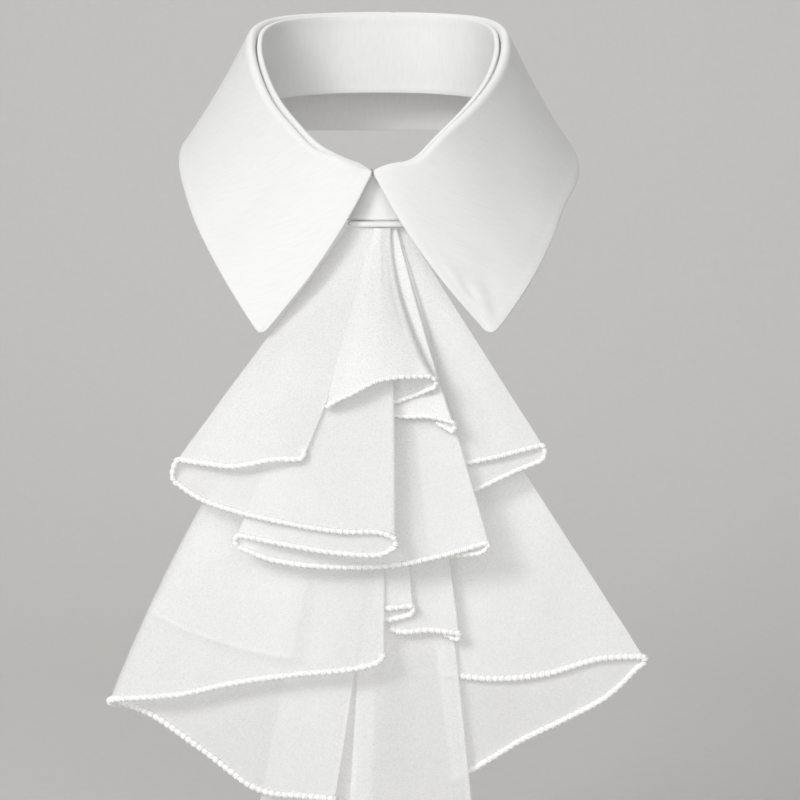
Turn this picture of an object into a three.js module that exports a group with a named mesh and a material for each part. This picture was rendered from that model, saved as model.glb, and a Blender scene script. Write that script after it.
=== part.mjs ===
// A detachable collar with a jabot: a large pointed turn-down collar on a stand, closed at the
// throat by a small hook and eye, with pleated chiffon ruffles hanging in two tiers from a short
// band under the stand. Millimetres, Z up, X to the viewer's right, the front facing -Y.
// The origin is the middle of the neck opening, level with the top of the closure.
import * as THREE from "three";

// Sizes, in millimetres.
const standWall = 2.2;
const fallWall = 1.8;
const clothWall = 1.0;
const standToFall = 0.6;
const rollInner = 1.3;
const rollOuter = 1.6;
const rollDepth = 4;
const rollShoulder = 1.2;
const bandHalfBack = 13;
const bandHalfFront = 4.6;
const bandSide = 63.5;
const bandFront = 73.4;
const bandCornerIn = 1.5;
const bandCornerBack = 3;
const bandHeight = 2.0;
const bandTop = -23.0;
const bandBack = 55;
const pleatTop = -25.65;
const tierTop = -60;
const wireRadius = 0.3;
// The outer end of the stand laps over the inner end at the throat.
const lapOuterX = -12.5;
const lapInnerX = -1.2;
const lapInset = 2.75;
const lapFrom = 17;
const lapTo = 29;
// The closure is pulled a little to the left of the middle.
const throatShift = -1.8;
const throatReach = 17;

// The ruffles are measured on a front view taken 10 degrees above level, in units of that view.
const view = { unit: 0.42, distance: 1000, elevation: 10, midAcross: 400, midDown: 400 };
// The place on that view where the closure shows, and where it is on the collar.
const closure = { across: 373.5, down: 170, x: -1.5, y: -61, z: -1 };

const radians = (degrees) => (degrees * Math.PI) / 180;
const mix = (a, b, t) => a + (b - a) * t;

// Value of a table column at a height, straight between its rows.
function atHeight(rows, z, column) {
  if (z >= rows[0].z) {
    return rows[0][column];
  }
  for (let i = 1; i < rows.length; i += 1) {
    if (z >= rows[i].z) {
      const t = (rows[i - 1].z - z) / (rows[i - 1].z - rows[i].z);
      return mix(rows[i - 1][column], rows[i][column], t);
    }
  }
  return rows[rows.length - 1][column];
}

// The hang of the ruffles by height: the line of the chest behind them, and how far apart the
// layers of cloth lie in the lower tier (layers 0 to 9) and in the upper tier (above layer 9).
const hang = [
  { z: -22, chest: -56, lower: 0.26, upper: 1.38 },
  { z: -40, chest: -57.2, lower: 0.86, upper: 1.5 },
  { z: -60, chest: -59, lower: 1.42, upper: 1.75 },
  { z: -90, chest: -62, lower: 1.72, upper: 2.2 },
  { z: -120, chest: -66, lower: 1.95, upper: 2.55 },
  { z: -165, chest: -74, lower: 2.3, upper: 2.8 },
  { z: -210, chest: -81.5, lower: 2.65, upper: 2.8 },
  { z: -255, chest: -87, lower: 2.9, upper: 2.8 },
  { z: -300, chest: -91, lower: 3.1, upper: 2.8 },
];
const tierLayer = 9;

function depthAt(z, layer) {
  const low = Math.min(layer, tierLayer) * atHeight(hang, z, "lower");
  const high = Math.max(layer - tierLayer, 0) * atHeight(hang, z, "upper");
  return atHeight(hang, z, "chest") - low - high;
}

// From a place on the front view to x and z, for cloth lying in a given layer.
const tilt = radians(view.elevation);
const eye = {
  x: closure.x - (closure.across - view.midAcross) * view.unit,
  y: closure.y - view.distance * Math.cos(tilt) - (view.midDown - closure.down) * view.unit * Math.sin(tilt),
  z: closure.z + view.distance * Math.sin(tilt) - (view.midDown - closure.down) * view.unit * Math.cos(tilt),
};
function placeInLayer(across, down, layer) {
  const right = ((across - view.midAcross) * view.unit) / view.distance;
  const up = ((view.midDown - down) * view.unit) / view.distance;
  const rayY = Math.cos(tilt) + up * Math.sin(tilt);
  const rayZ = up * Math.cos(tilt) - Math.sin(tilt);
  let z = -150;
  let x = 0;
  for (let round = 0; round < 8; round += 1) {
    const reach = (depthAt(z, layer) - eye.y) / rayY;
    x = eye.x + reach * right;
    z = eye.z + reach * rayZ;
  }
  return { x, z };
}

// One closed body from a grid of points, with a wall of even thickness about it.
function wallAbout(grid, wall) {
  const rows = grid.length;
  const columns = grid[0].length;
  const at = (i, j) => grid[Math.min(Math.max(i, 0), rows - 1)][Math.min(Math.max(j, 0), columns - 1)];
  const unit = (a, b) => b.clone().sub(a).normalize();
  const front = [];
  const back = [];
  for (let i = 0; i < rows; i += 1) {
    for (let j = 0; j < columns; j += 1) {
      const here = at(i, j);
      const down = at(i + 1, j).clone().sub(at(i - 1, j));
      const before = j > 0 ? unit(at(i, j - 1), here) : unit(here, at(i, j + 1));
      const after = j < columns - 1 ? unit(here, at(i, j + 1)) : before;
      const sideA = new THREE.Vector3().crossVectors(before, down).normalize();
      const sideB = new THREE.Vector3().crossVectors(after, down).normalize();
      const normal = sideA.clone().add(sideB).normalize();
      const corner = Math.max(normal.dot(sideA), 0.75);
      front.push(here.clone().addScaledVector(normal, wall / 2 / corner));
      back.push(here.clone().addScaledVector(normal, -wall / 2 / corner));
    }
  }
  const positions = [...front, ...back].flatMap((p) => [p.x, p.y, p.z]);
  const count = rows * columns;
  const faces = [];
  const quad = (a, b, c, d) => faces.push(a, b, c, a, c, d);
  for (let i = 0; i < rows - 1; i += 1) {
    for (let j = 0; j < columns - 1; j += 1) {
      const a = i * columns + j;
      quad(a, a + columns, a + columns + 1, a + 1);
      quad(count + a, count + a + 1, count + a + columns + 1, count + a + columns);
    }
  }
  for (let j = 0; j < columns - 1; j += 1) {
    quad(j, j + 1, count + j + 1, count + j);
    const low = (rows - 1) * columns + j;
    quad(low, count + low, count + low + 1, low + 1);
  }
  for (let i = 0; i < rows - 1; i += 1) {
    const a = i * columns;
    quad(a, count + a, count + a + columns, a + columns);
    const b = a + columns - 1;
    quad(b, b + columns, count + b + columns, count + b);
  }
  return facingOut(positions, faces);
}

// A geometry whose faces look outwards, whichever way round its corners were listed.
function facingOut(positions, faces) {
  const p = (i) => new THREE.Vector3(positions[3 * i], positions[3 * i + 1], positions[3 * i + 2]);
  let volume = 0;
  for (let f = 0; f < faces.length; f += 3) {
    volume += p(faces[f]).dot(p(faces[f + 1]).cross(p(faces[f + 2])));
  }
  if (volume < 0) {
    faces.reverse();
  }
  const geometry = new THREE.BufferGeometry();
  geometry.setAttribute("position", new THREE.Float32BufferAttribute(positions, 3));
  geometry.setIndex(faces);
  geometry.computeVertexNormals();
  return geometry;
}

// Smooth curve through four numbers, between the second and the third.
function smooth(a, b, c, d, t) {
  const t2 = t * t;
  const t3 = t2 * t;
  return 0.5 * (2 * b + (c - a) * t + (2 * a - 5 * b + 4 * c - d) * t2 + (3 * b - a - 3 * c + d) * t3);
}

// A gathered piece of cloth hung from its top line. Each row is a place along its lower hem:
// across and down on the front view, the layer it lies in, its x on the top line, and where
// needed a turn (1 folds back round on the right, -1 on the left) and a bow, the sideways
// swing of the fall line at its middle. Columns of points run from the top line to the hem.
const between = 2;
const turnSteps = 3;
const levels = [0, 0.1, 0.26, 0.46, 0.73, 1];
function gathered(rows, topZ) {
  const path = [];
  rows.forEach((row, k) => {
    const next = rows[k + 1];
    if (!next) {
      path.push({ ...row, side: 0, swing: row.bow ?? 0, half: 0 });
      return;
    }
    if (row.turn) {
      path.push({ ...row, side: 0, swing: row.bow ?? 0, half: 0 });
      for (let s = 1; s <= turnSteps; s += 1) {
        const angle = (s / (turnSteps + 1)) * Math.PI;
        const t = (1 - Math.cos(angle)) / 2;
        path.push({
          across: mix(row.across, next.across, t),
          down: mix(row.down, next.down, t),
          layer: mix(row.layer, next.layer, t),
          top: mix(row.top, next.top, t),
          swing: mix(row.bow ?? 0, next.bow ?? 0, t),
          side: row.turn * Math.sin(angle),
          half: Math.abs(row.layer - next.layer) / 2,
          mid: (row.layer + next.layer) / 2,
        });
      }
      return;
    }
    const before = k > 0 && !rows[k - 1].turn ? rows[k - 1] : row;
    const after = !next.turn && rows[k + 2] ? rows[k + 2] : next;
    for (let s = 0; s < between; s += 1) {
      const t = s / between;
      const column = (name) => smooth(before[name], row[name], next[name], after[name], t);
      path.push({
        across: column("across"),
        down: column("down"),
        layer: column("layer"),
        top: column("top"),
        swing: mix(row.bow ?? 0, next.bow ?? 0, t),
        side: 0,
        half: 0,
      });
    }
  });
  return levels.map((v) =>
    path.map((p) => {
      const hem = placeInLayer(p.across, p.down, p.layer);
      const z = mix(topZ, hem.z, v);
      const bow = p.swing * view.unit * 4 * v * (1 - v);
      let x = mix(p.top, hem.x, v) + bow;
      if (p.half > 0) {
        const radius = Math.abs(depthAt(z, p.mid - p.half) - depthAt(z, p.mid + p.half)) / 2;
        x += p.side * radius;
      }
      return new THREE.Vector3(x, depthAt(z, p.layer), z);
    }),
  );
}

// Upper tier, left: one ruffle folded over five times, hem to hem down the front.
const leftCascade = [
  { across: 305, down: 449, layer: 18.4, top: 1, bow: 6 },
  { across: 301, down: 457, layer: 18.45, top: 0.4, bow: 6 },
  { across: 274, down: 458, layer: 18.4, top: -2.5, bow: 3 },
  { across: 236, down: 465, layer: 17.6, top: -7 },
  { across: 205, down: 462, layer: 16, top: -10.4 },
  { across: 180, down: 458, layer: 14.7, top: -12, turn: -1 },
  { across: 178, down: 482, layer: 13, top: -11.8 },
  { across: 203, down: 498, layer: 14, top: -10.4 },
  { across: 240, down: 511, layer: 15.5, top: -7.6 },
  { across: 294, down: 523, layer: 16.9, top: -3.6 },
  { across: 340, down: 530, layer: 17.3, top: 0.2 },
  { across: 378, down: 531, layer: 17.3, top: 2.6, bow: 3 },
  { across: 392, down: 536, layer: 17.3, top: 2.8, bow: 3, turn: 1 },
  { across: 392, down: 548, layer: 16.25, top: 2.8, bow: 3 },
  { across: 378, down: 554, layer: 16.2, top: 2.4, bow: 3 },
  { across: 340, down: 552, layer: 16.2, top: 0 },
  { across: 296, down: 545, layer: 15.6, top: -3 },
  { across: 240, down: 534, layer: 14.3, top: -7, turn: -1 },
  { across: 240, down: 546, layer: 13.1, top: -7 },
  { across: 274, down: 559, layer: 13, top: -4.5 },
  { across: 328, down: 565, layer: 12.5, top: -1.2 },
  { across: 386, down: 565, layer: 12.05, top: 3 },
  { across: 436, down: 556, layer: 12.2, top: 6.2 },
  { across: 487, down: 541, layer: 12.8, top: 8.4, turn: 1 },
  { across: 478, down: 552, layer: 11.7, top: 8.4 },
  { across: 430, down: 556, layer: 11, top: 6 },
];

// Upper tier, centre: the front pleat, folded back under itself and out again below.
const frontPleat = [
  { across: 327, down: 405, layer: 19.5, top: -1.2, bow: -2 },
  { across: 334, down: 401, layer: 20.1, top: -0.6, bow: -2 },
  { across: 353, down: 392, layer: 20.9, top: 0.4, bow: -2 },
  { across: 378, down: 379, layer: 21.2, top: 1.6, bow: -3 },
  { across: 404, down: 375, layer: 20.4, top: 3.1, bow: -6 },
  { across: 425, down: 375, layer: 19.6, top: 4.8, bow: -8, turn: 1 },
  { across: 428, down: 388, layer: 16.7, top: 5.1, bow: -8 },
  { across: 414, down: 394, layer: 14.6, top: 4.7, bow: -6 },
  { across: 390, down: 402, layer: 14.8, top: 2.2, bow: -4, turn: -1 },
  { across: 390, down: 412, layer: 13.75, top: 2.2, bow: -4 },
  { across: 404, down: 415, layer: 13.75, top: 3.6, bow: -4 },
  { across: 428, down: 415, layer: 14.3, top: 6, bow: -3 },
  { across: 450, down: 420, layer: 15.6, top: 7.8, bow: -2, turn: 1 },
  { across: 451, down: 430, layer: 14.5, top: 7.8, bow: -2 },
  { across: 436, down: 421, layer: 13.4, top: 6.4, bow: -2 },
];

// Upper tier, right: a flare turned under at its outer edge.
const rightFlare = [
  { across: 434, down: 462, layer: 9.95, top: 6 },
  { across: 464, down: 461, layer: 9.95, top: 8 },
  { across: 493, down: 456, layer: 10.1, top: 9.4 },
  { across: 520, down: 449, layer: 10.4, top: 10.4 },
  { across: 541, down: 444, layer: 10.2, top: 11.2, turn: 1 },
  { across: 539, down: 460, layer: 8.9, top: 11.2 },
  { across: 512, down: 471, layer: 8.9, top: 10 },
  { across: 474, down: 489, layer: 8.9, top: 8.2 },
  { across: 456, down: 498, layer: 8.9, top: 7.2 },
];

// Lower tier, left: a wide ruffle folded back on the left and falling on below.
const lowerLeft = [
  { across: 383, down: 655, layer: 8.2, top: 3 },
  { across: 376, down: 662, layer: 8.35, top: 2.2 },
  { across: 350, down: 668, layer: 8.4, top: 0 },
  { across: 304, down: 672, layer: 8.5, top: -4 },
  { across: 240, down: 681, layer: 8.6, top: -9 },
  { across: 180, down: 693, layer: 8.4, top: -14, bow: -10 },
  { across: 122, down: 697, layer: 8, top: -19, bow: -17, turn: -1 },
  { across: 124, down: 702, layer: 4.2, top: -19, bow: -17 },
  { across: 152, down: 713, layer: 4.1, top: -16, bow: -12 },
  { across: 200, down: 746, layer: 4.1, top: -12, bow: -6 },
  { across: 256, down: 786, layer: 4.2, top: -8 },
  { across: 300, down: 794, layer: 4.3, top: -3, bow: 5 },
  { across: 334, down: 797, layer: 4.1, top: 1.5, bow: 10 },
];

// Lower tier, right: a wide flare turned under at its outer edge.
const lowerRight = [
  { across: 440, down: 672, layer: 1.5, top: 5 },
  { across: 493, down: 677, layer: 1.5, top: 9 },
  { across: 545, down: 673, layer: 1.65, top: 12 },
  { across: 600, down: 657, layer: 1.75, top: 15 },
  { across: 642, down: 655, layer: 1.7, top: 17, turn: 1 },
  { across: 638, down: 665, layer: 0.6, top: 17 },
  { across: 605, down: 695, layer: 0.55, top: 15 },
  { across: 560, down: 720, layer: 0.5, top: 12 },
  { across: 515, down: 742, layer: 0.5, top: 9 },
  { across: 472, down: 768, layer: 0.5, top: 6 },
  { across: 452, down: 777, layer: 0.5, top: 5 },
];

// Middle of the lower tier: a short narrow pleat, a wider one behind it, an underlay on the
// left, the long tail down the middle and a last layer behind it.
const shortPleat = [
  { across: 374, down: 606, layer: 7.1, top: 1.5 },
  { across: 388, down: 607, layer: 7.2, top: 2.4 },
  { across: 400, down: 606, layer: 7.25, top: 3.3 },
  { across: 411, down: 605, layer: 7.2, top: 4.3, turn: 1 },
  { across: 409, down: 614, layer: 6.15, top: 4.3 },
  { across: 394, down: 618, layer: 6.15, top: 3 },
  { across: 376, down: 619, layer: 6.15, top: 1.8 },
];
const middlePleat = [
  { across: 390, down: 627, layer: 5.1, top: 3.2 },
  { across: 402, down: 631, layer: 5.1, top: 4.4 },
  { across: 429, down: 629, layer: 5.1, top: 7 },
  { across: 457, down: 632, layer: 5.1, top: 9, bow: 5, turn: 1 },
  { across: 455, down: 638, layer: 4.05, top: 9, bow: 5 },
  { across: 440, down: 630, layer: 4.05, top: 7.6, bow: 3 },
];
const leftUnderlay = [
  { across: 156, down: 606, layer: 7.0, top: -16, bow: -6 },
  { across: 160, down: 613, layer: 7.15, top: -15.4, bow: -6 },
  { across: 182, down: 625, layer: 7.3, top: -14, bow: -5 },
  { across: 214, down: 637, layer: 7.4, top: -12, bow: -3 },
  { across: 249, down: 648, layer: 7.4, top: -9.4 },
  { across: 292, down: 655, layer: 7.3, top: -6.6 },
];
const longTail = [
  { across: 349, down: 812, layer: 2.85, top: -3.5, bow: 5 },
  { across: 362, down: 815, layer: 2.9, top: -2.4, bow: 3 },
  { across: 385, down: 812, layer: 2.95, top: -1 },
  { across: 414, down: 815, layer: 2.85, top: 2.4 },
  { across: 444, down: 812, layer: 2.9, top: 6, bow: 2 },
  { across: 464, down: 811, layer: 2.9, top: 8.6, bow: 4 },
  { across: 471, down: 808, layer: 2.8, top: 9.4, bow: 4 },
];
const backTail = [
  { across: 258, down: 812, layer: 1.6, top: -9 },
  { across: 288, down: 818, layer: 1.65, top: -6 },
  { across: 322, down: 816, layer: 1.6, top: -3 },
  { across: 350, down: 818, layer: 1.6, top: -0.4 },
  { across: 372, down: 818, layer: 1.6, top: 2.2 },
];

// The collar, in half: each row is a section from the roll at the neck to the outer edge. The
// last three columns move the right-hand edge and lift the right-hand roll, which lie a little
// differently from the left; bow and puff swing the middle of the leaf sideways and outwards.
const sections = [
  { fx: 3.3, fy: -60.5, fz: -1.4, ex: 45.2, ey: -84, ez: -65.2, bow: 5, puff: 1, rx: -1, rz: 0, rf: 0.6 },
  { fx: 5.6, fy: -60.2, fz: -0.4, ex: 47.8, ey: -84.2, ez: -66.6, bow: 3.6, puff: 0.6, rx: -1, rz: 0, rf: 1 },
  { fx: 8.5, fy: -59.6, fz: 0.8, ex: 51.2, ey: -82.4, ez: -64.4, bow: 2, puff: -0.6, rx: 0, rz: 0, rf: 0.6 },
  { fx: 17, fy: -57.2, fz: 4, ex: 63.8, ey: -67, ez: -47.6, bow: 0.6, puff: -1.6, rx: 0.3, rz: -1, rf: -0.8 },
  { fx: 27, fy: -52, fz: 7.2, ex: 74.6, ey: -46, ez: -32.4, bow: 0, puff: -1.8, rx: -0.6, rz: -1.6, rf: 5.6 },
  { fx: 37, fy: -43, fz: 16.2, ex: 81.8, ey: -28, ez: -19.8, bow: 0, puff: -1, rx: -1.6, rz: -1.8, rf: 5 },
  { fx: 46, fy: -32, fz: 26, ex: 87.8, ey: -5, ez: -6.6, bow: 0, puff: 0, rx: 0.4, rz: -3, rf: 4.2 },
  { fx: 52.4, fy: -19, fz: 37.6, ex: 89, ey: 12, ez: 1.6, bow: 0, puff: 0.4, rx: 0, rz: -2.6, rf: 1.4 },
  { fx: 56, fy: -4, fz: 49.4, ex: 86, ey: 25, ez: 6.2, bow: 0, puff: 0.2, rx: -0.6, rz: -1, rf: 0 },
  { fx: 54.6, fy: 14, fz: 57, ex: 78, ey: 46, ez: 7.4, bow: 0, puff: 0.8, rx: 0, rz: 0, rf: 0 },
  { fx: 45, fy: 36, fz: 60.6, ex: 61, ey: 66, ez: 7.2, bow: 0, puff: 1.6, rx: 0, rz: 0, rf: 0 },
  { fx: 25, fy: 52, fz: 62, ex: 33, ey: 80, ez: 6.8, bow: 0, puff: 2, rx: 0, rz: 0, rf: 0 },
  { fx: 0, fy: 57.6, fz: 62.4, ex: 0, ey: 84.6, ez: 6.6, bow: 0, puff: 2, rx: 0, rz: 0, rf: 0 },
];

// Every section round the collar, from the left point past the back to the right point.
function allSections() {
  const shift = (s) => throatShift * Math.max(0, 1 - s.fx / throatReach);
  const left = sections.map((s) => ({ ...s, fx: shift(s) - s.fx, ex: -s.ex }));
  const right = sections
    .slice(0, -1)
    .reverse()
    .map((s) => ({
      ...s,
      fx: shift(s) + s.fx,
      fz: s.fz + s.rf,
      ex: s.ex + s.rx,
      ez: s.ez + s.rz,
      bow: -s.bow,
    }));
  return [...left, ...right];
}

const roundSteps = 2;
function roundCollar(rows) {
  const names = Object.keys(rows[0]);
  const out = [];
  rows.forEach((row, k) => {
    const next = rows[k + 1];
    if (!next) {
      out.push(row);
      return;
    }
    const before = rows[k - 1] ?? row;
    const after = rows[k + 2] ?? next;
    for (let s = 0; s < roundSteps; s += 1) {
      const t = s / roundSteps;
      out.push(Object.fromEntries(names.map((n) => [n, smooth(before[n], row[n], next[n], after[n], t)])));
    }
  });
  return out;
}

// The turned-down fall: a short inner leg behind the roll, the roll, and the leaf outside it.
const leafLevels = [0.06, 0.2, 0.42, 0.7, 1];
function fallGrid() {
  const round = roundCollar(allSections());
  const columns = round.map((s) => {
    const fold = new THREE.Vector3(s.fx, s.fy, s.fz);
    const edge = new THREE.Vector3(s.ex, s.ey, s.ez);
    const out = new THREE.Vector3(s.fx, s.fy, 0).normalize();
    const inner = fold.clone().addScaledVector(out, -rollInner);
    const outer = fold.clone().addScaledVector(out, rollOuter);
    const points = [
      inner.clone().add(new THREE.Vector3(0, 0, -rollDepth)),
      inner.clone().add(new THREE.Vector3(0, 0, -rollShoulder)),
      fold.clone(),
      outer.clone().add(new THREE.Vector3(0, 0, -rollShoulder)),
    ];
    leafLevels.forEach((v) => {
      const p = outer.clone().lerp(edge, v);
      p.z -= (1 - v) * rollShoulder;
      p.x += s.bow * 4 * v * (1 - v);
      p.addScaledVector(out, s.puff * 4 * v * (1 - v));
      points.push(p);
    });
    return points;
  });
  return columns[0].map((_, i) => columns.map((c) => c[i]));
}

// The stand, inside the fall: a curved band taller at the back, its ends meeting at the throat.
// Here too rf lifts the right-hand side.
const standInset = rollInner + fallWall / 2 + standToFall + standWall / 2;
const standRows = [
  { fx: 0, fy: -60.4, fz: -2.6, drop: 19.8, flare: 3 },
  { fx: 8.5, fy: -59.6, fz: 1.2, drop: 23.6, flare: 3.2 },
  { fx: 17, fy: -57.2, fz: 4, drop: 26, flare: 3.6 },
  { fx: 27, fy: -52, fz: 9.4, drop: 29, flare: 4, rf: 3.4 },
  { fx: 37, fy: -43, fz: 18, drop: 32, flare: 4.4, rf: 3.2 },
  { fx: 46, fy: -32, fz: 27.4, drop: 34, flare: 4.8, rf: 2.6 },
  { fx: 52.4, fy: -19, fz: 38, drop: 35, flare: 5, rf: 0.8 },
  { fx: 56, fy: -4, fz: 48.8, drop: 36, flare: 5 },
  { fx: 54.6, fy: 14, fz: 56.4, drop: 36, flare: 5 },
  { fx: 45, fy: 36, fz: 60, drop: 36, flare: 5 },
  { fx: 25, fy: 52, fz: 61.4, drop: 36, flare: 4 },
  { fx: 0, fy: 57.6, fz: 61.8, drop: 36, flare: 4 },
];
const standLevels = [0, 0.3, 0.65, 1];
const lapRows = [
  { fx: -6, fy: -60, fz: 0, drop: 22.4, flare: 3.1 },
  { fx: lapOuterX, fy: -58.7, fz: 2.6, drop: 25, flare: 3.4 },
];
function standGrid() {
  const left = standRows.map((s) => ({ ...s, fx: -s.fx, tuck: lapInset * lapShare(s.fx) }));
  left[0].fx = lapInnerX;
  const lift = (s) => ({ ...s, tuck: 0, fz: s.fz + (s.rf ?? 0), drop: s.drop + (s.rf ?? 0) });
  const right = [...standRows.slice(0, -1).reverse(), ...lapRows].map(lift);
  const round = roundCollar([...left, ...right]);
  const columns = round.map((s) => {
    const out = new THREE.Vector3(s.fx, s.fy, 0).normalize();
    return standLevels.map((v) => {
      const p = new THREE.Vector3(s.fx, s.fy, s.fz - s.drop * v);
      return p.addScaledVector(out, s.flare * v * v - standInset - s.tuck);
    });
  });
  return columns[0].map((_, i) => columns.map((c) => c[i]));
}

// How much of the lap's inset applies at a distance from the middle of the throat.
function lapShare(x) {
  const t = Math.min(Math.max((lapTo - x) / (lapTo - lapFrom), 0), 1);
  return t * t * (3 - 2 * t);
}

// The hook and the eye at the throat: bent wire on small curves.
function wire(points) {
  const path = new THREE.CatmullRomCurve3(points.map((p) => new THREE.Vector3(...p)));
  const round = new THREE.Shape();
  round.absarc(0, 0, wireRadius, 0, 2 * Math.PI, false);
  const along = { steps: 14, curveSegments: 3, bevelEnabled: false, extrudePath: path };
  return new THREE.ExtrudeGeometry(round, along);
}

const hookPath = [
  [0.8, -58.7, -2.1],
  [-0.4, -59.2, -2.1],
  [-1.7, -59.85, -2.1],
  [-2.7, -59.9, -2.1],
  [-3.2, -59.4, -2.1],
];
const eyePath = [
  [-3.9, -58.6, -1.2],
  [-2.9, -58.7, -0.9],
  [-2.0, -58.75, -1.5],
  [-2.0, -58.75, -2.7],
  [-2.9, -58.7, -3.3],
  [-3.9, -58.6, -3.0],
];

const group = new THREE.Group();
group.name = "detachable_collar_with_jabot";
function add(name, geometry, colour, roughness, metalness = 0) {
  const material = new THREE.MeshStandardMaterial({ color: colour, roughness, metalness });
  material.name = name;
  const mesh = new THREE.Mesh(geometry, material);
  mesh.name = name;
  group.add(mesh);
}

const poplin = 0xf2f2f0;
const chiffon = 0xf6f6f6;
const steel = 0xb8b8b8;
add("collar_stand", wallAbout(standGrid(), standWall), poplin, 0.8);
add("collar_fall", wallAbout(fallGrid(), fallWall), poplin, 0.8);

add("hook", wire(hookPath), steel, 0.35, 1);
add("eye", wire(eyePath), steel, 0.35, 1);

// The short band that holds the gathers: level, and rounded forward in plan over the pleats.
const plan = new THREE.Shape();
plan.moveTo(-bandHalfBack, -bandBack);
plan.lineTo(-bandHalfBack, -bandSide);
plan.quadraticCurveTo(bandCornerIn - bandHalfBack, bandCornerBack - bandFront, -bandHalfFront, -bandFront);
plan.lineTo(bandHalfFront, -bandFront);
plan.quadraticCurveTo(bandHalfBack - bandCornerIn, bandCornerBack - bandFront, bandHalfBack, -bandSide);
plan.lineTo(bandHalfBack, -bandBack);
plan.closePath();
const band = new THREE.ExtrudeGeometry(plan, { depth: bandHeight, curveSegments: 6, bevelEnabled: false });
band.translate(0, 0, bandTop - bandHeight);
add("jabot_band", band, poplin, 0.8);
add("left_cascade", wallAbout(gathered(leftCascade, pleatTop), clothWall), chiffon, 0.85);
add("front_pleat", wallAbout(gathered(frontPleat, pleatTop), clothWall), chiffon, 0.85);
add("right_flare", wallAbout(gathered(rightFlare, pleatTop), clothWall), chiffon, 0.85);
add("long_tail", wallAbout(gathered(longTail, pleatTop), clothWall), chiffon, 0.85);
add("lower_left_ruffle", wallAbout(gathered(lowerLeft, tierTop), clothWall), chiffon, 0.85);
add("lower_right_ruffle", wallAbout(gathered(lowerRight, tierTop), clothWall), chiffon, 0.85);
add("short_pleat", wallAbout(gathered(shortPleat, tierTop), clothWall), chiffon, 0.85);
add("middle_pleat", wallAbout(gathered(middlePleat, tierTop), clothWall), chiffon, 0.85);
add("left_underlay", wallAbout(gathered(leftUnderlay, tierTop), clothWall), chiffon, 0.85);
add("back_tail", wallAbout(gathered(backTail, tierTop), clothWall), chiffon, 0.85);

export default group;
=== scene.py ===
# A detachable poplin collar with a chiffon jabot, closed at the throat by a hook and eye.
# Sizes in the dictionaries are millimetres, but for the studio; meshes are made in metres, in the
# frame's own space.
import bisect
import bpy
import math
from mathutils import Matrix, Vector, noise


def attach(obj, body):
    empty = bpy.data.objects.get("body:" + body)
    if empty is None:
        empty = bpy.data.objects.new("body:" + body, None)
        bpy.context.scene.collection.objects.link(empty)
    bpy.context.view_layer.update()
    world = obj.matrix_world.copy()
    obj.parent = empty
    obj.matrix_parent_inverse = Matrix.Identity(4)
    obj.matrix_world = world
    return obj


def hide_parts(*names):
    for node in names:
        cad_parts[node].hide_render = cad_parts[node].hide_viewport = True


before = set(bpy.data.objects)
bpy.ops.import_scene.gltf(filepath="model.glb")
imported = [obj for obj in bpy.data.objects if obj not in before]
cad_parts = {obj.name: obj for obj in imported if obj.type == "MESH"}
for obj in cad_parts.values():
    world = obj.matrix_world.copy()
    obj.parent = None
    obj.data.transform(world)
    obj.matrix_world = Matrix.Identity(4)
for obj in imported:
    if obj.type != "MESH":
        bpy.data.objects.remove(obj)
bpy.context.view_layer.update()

mm = 0.001
print("frame loaded:", len(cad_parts), "nodes")

# The front view that the cloth is placed on; the camera stands at its eye.
frontView = {"unit": 0.42, "distance": 1000, "elevation": 10, "middle": 400, "frame": 800}
closure = {"across": 373.5, "down": 170, "x": -1.5, "y": -61, "z": -1}
tilt = math.radians(frontView["elevation"])
closureRise = (frontView["middle"] - closure["down"]) * frontView["unit"]
eyePoint = Vector((
    closure["x"] - (closure["across"] - frontView["middle"]) * frontView["unit"],
    closure["y"] - frontView["distance"] * math.cos(tilt) - closureRise * math.sin(tilt),
    closure["z"] + frontView["distance"] * math.sin(tilt) - closureRise * math.cos(tilt),
))


def placeObject(name, data):
    thing = bpy.data.objects.new(name, data)
    bpy.context.scene.collection.objects.link(thing)
    return thing


def makeCamera():
    data = bpy.data.cameras.new("camera")
    data.sensor_width = 36
    data.lens = 36 * frontView["distance"] / (frontView["frame"] * frontView["unit"])
    data.clip_start = 0.05
    data.clip_end = 20
    camera = placeObject("camera", data)
    camera.location = eyePoint * mm
    camera.rotation_euler = (math.radians(90 - frontView["elevation"]), 0, 0)
    bpy.context.scene.camera = camera


makeCamera()


# Small sums used all over.
def mix(a, b, t):
    return a + (b - a) * t


def ease(low, high, value):
    t = min(max((value - low) / (high - low), 0), 1)
    return t * t * (3 - 2 * t)


def hump(distance, width):
    return math.exp(-((distance / width) ** 2))


# A smooth curve through four values, between the second and the third.
def smooth(a, b, c, d, t):
    return 0.5 * (
        2 * b + (c - a) * t + (2 * a - 5 * b + 4 * c - d) * t ** 2 + (3 * b - a - 3 * c + d) * t ** 3
    )


def smoothLine(points, steps):
    line = []
    for k in range(len(points) - 1):
        before = points[max(k - 1, 0)]
        beyond = points[min(k + 2, len(points) - 1)]
        for s in range(steps):
            line.append(smooth(before, points[k], points[k + 1], beyond, s / steps))
    line.append(points[-1])
    return line


def lengthsAlong(points):
    total = [0.0]
    for a, b in zip(points, points[1:]):
        total.append(total[-1] + (b - a).length)
    return total


def pointAtLength(points, lengths, distance):
    k = min(max(bisect.bisect_right(lengths, distance) - 1, 0), len(points) - 2)
    span = max(lengths[k + 1] - lengths[k], 1e-9)
    return points[k].lerp(points[k + 1], (distance - lengths[k]) / span)


# Node and material helpers.
def linear(hexColour):
    channels = [int(hexColour[i:i + 2], 16) / 255 for i in (1, 3, 5)]
    return [c / 12.92 if c <= 0.04045 else ((c + 0.055) / 1.055) ** 2.4 for c in channels] + [1.0]


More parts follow.
